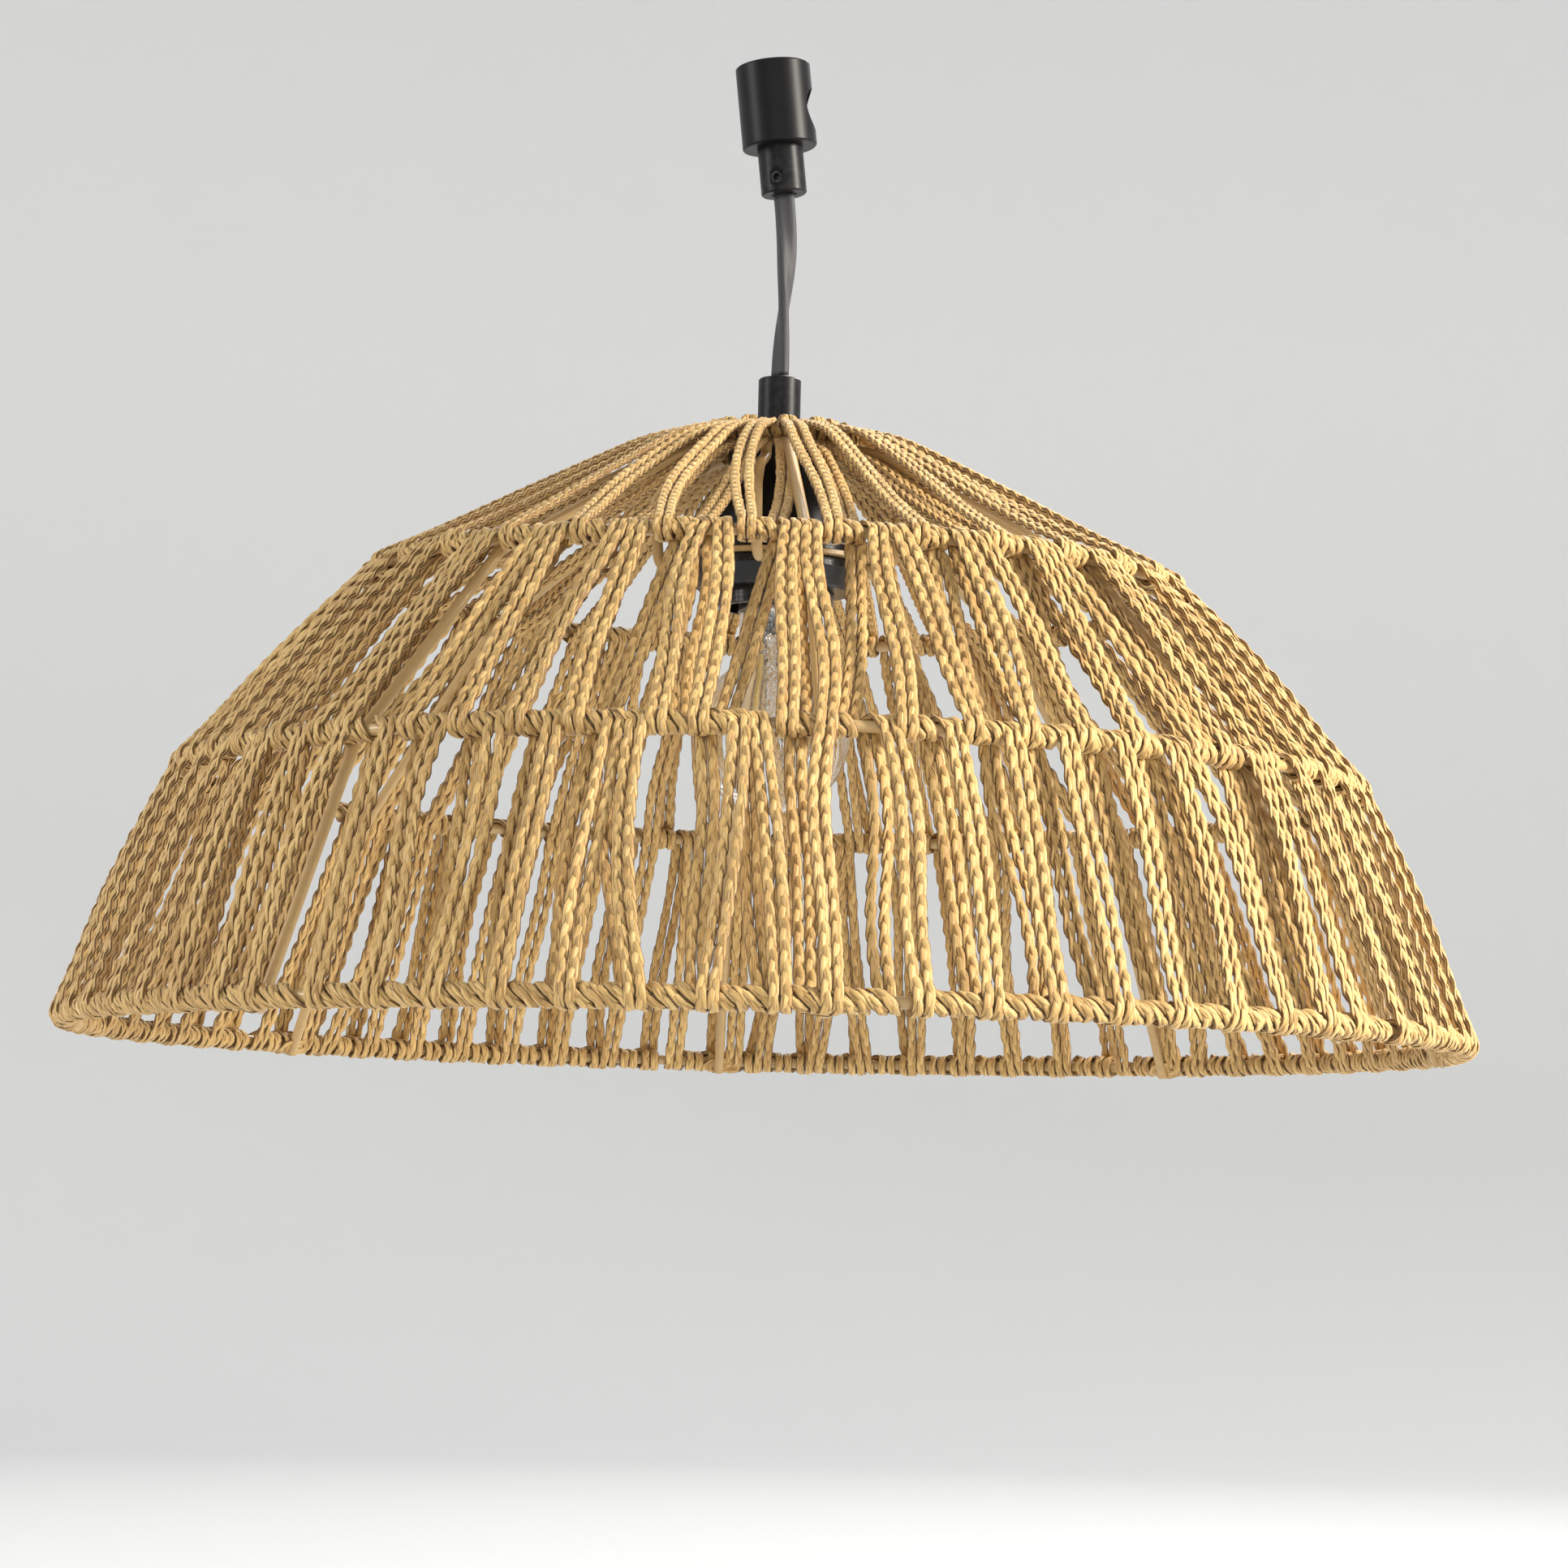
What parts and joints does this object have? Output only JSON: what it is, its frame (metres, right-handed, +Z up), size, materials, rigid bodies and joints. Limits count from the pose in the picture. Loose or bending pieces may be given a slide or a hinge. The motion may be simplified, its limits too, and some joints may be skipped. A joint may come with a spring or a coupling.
{
  "type": "woven lamp shade",
  "caption": "Domed lamp shade of plaited cord on a tan wire frame, with lampholder and clear bulb, hung by a short flat cord from the end cap of a lamp arm.",
  "frame": {"origin": "on the axis of the arm bore in the end cap, above the middle of the shade", "axes": "+X along the arm bore, out of its mouth; +Z up the axis that the shade is round about"},
  "size_m": [0.5086, 0.5086, 0.3647],
  "materials": {
    "black_paint": "satin black powder coat",
    "black_steel": "black oxide",
    "black_plastic": "moulded, half gloss",
    "cord_sheath": "soft matt sheath",
    "lead_sheath": "insulated core",
    "steatite": "unglazed",
    "plated_steel": "plated",
    "brass": "pressed",
    "base_metal": "rolled",
    "base_glass": "fused",
    "clear_glass": "clear",
    "stem_glass": "clear",
    "filament": "coated rod",
    "wire_paint": "glossy tan paint",
    "plaited_cord": "three-strand plaited paper straw"
  },
  "bodies": {
    "head": {"end_cap": "black_paint", "coupler": "black_paint"},
    "clamp_screw": {"set_screw": "black_steel"},
    "hanging_cord": {"cord": "cord_sheath"},
    "lampholder": {"neck_sleeve": "black_paint", "cord_grip": "black_plastic", "holder_cap": "black_paint", "holder_body": "black_plastic", "contact_block": "steatite", "terminal_screws": "plated_steel", "holder_leads": "lead_sheath", "screw_shell": "brass", "centre_contact": "brass"},
    "ring": {"retaining_ring": "black_plastic"},
    "bulb": {"bulb_base": "base_metal", "bulb_insulator": "base_glass", "bulb_contact": "base_metal", "bulb_glass": "clear_glass", "bulb_stem": "stem_glass", "bulb_filaments": "filament", "bulb_leads": "plated_steel"},
    "shade": {"fitter_plate": "wire_paint", "spider_arms": "wire_paint", "top_ring": "wire_paint", "upper_hoop": "wire_paint", "middle_hoop": "wire_paint", "bottom_hoop": "wire_paint", "rib_1": "wire_paint", "rib_2": "wire_paint", "rib_3": "wire_paint", "rib_4": "wire_paint", "rib_5": "wire_paint", "rib_6": "wire_paint", "rib_7": "wire_paint", "rib_8": "wire_paint", "top_ring_wrap": "plaited_cord", "upper_wrap": "plaited_cord", "middle_wrap": "plaited_cord", "bottom_wrap": "plaited_cord", "upper_winding": "plaited_cord", "middle_winding": "plaited_cord", "lower_winding": "plaited_cord"}
  },
  "joints": [
    {"name": "screw_turn", "type": "hinge", "parent": "head", "child": "clamp_screw", "pos_m": [-0.00298, -0.00763, -0.0274], "axis": [-0.2988, -0.9537, -0.034], "range_deg": [0, 1080]},
    {"name": "cord_swing", "type": "hinge", "parent": "head", "child": "hanging_cord", "pos_m": [0, 0, -0.03229], "axis": [1, 0, 0], "range_deg": [-20, 20]},
    {"name": "holder_tilt", "type": "hinge", "parent": "hanging_cord", "child": "lampholder", "pos_m": [0, 0, -0.1013], "axis": [0, 1, 0], "range_deg": [-20, 20]},
    {"name": "shade_turn", "type": "hinge", "parent": "lampholder", "child": "shade", "pos_m": [0, 0, -0.1685], "axis": [0, 0, 1], "continuous": true},
    {"name": "ring_turn", "type": "hinge", "parent": "lampholder", "child": "ring", "pos_m": [0, 0, -0.175], "axis": [0, 0, -1], "range_deg": [0, 1080]},
    {"name": "bulb_turn", "type": "hinge", "parent": "lampholder", "child": "bulb", "pos_m": [0, 0, -0.175], "axis": [0, 0, -1], "range_deg": [0, 1440]}
  ]
}
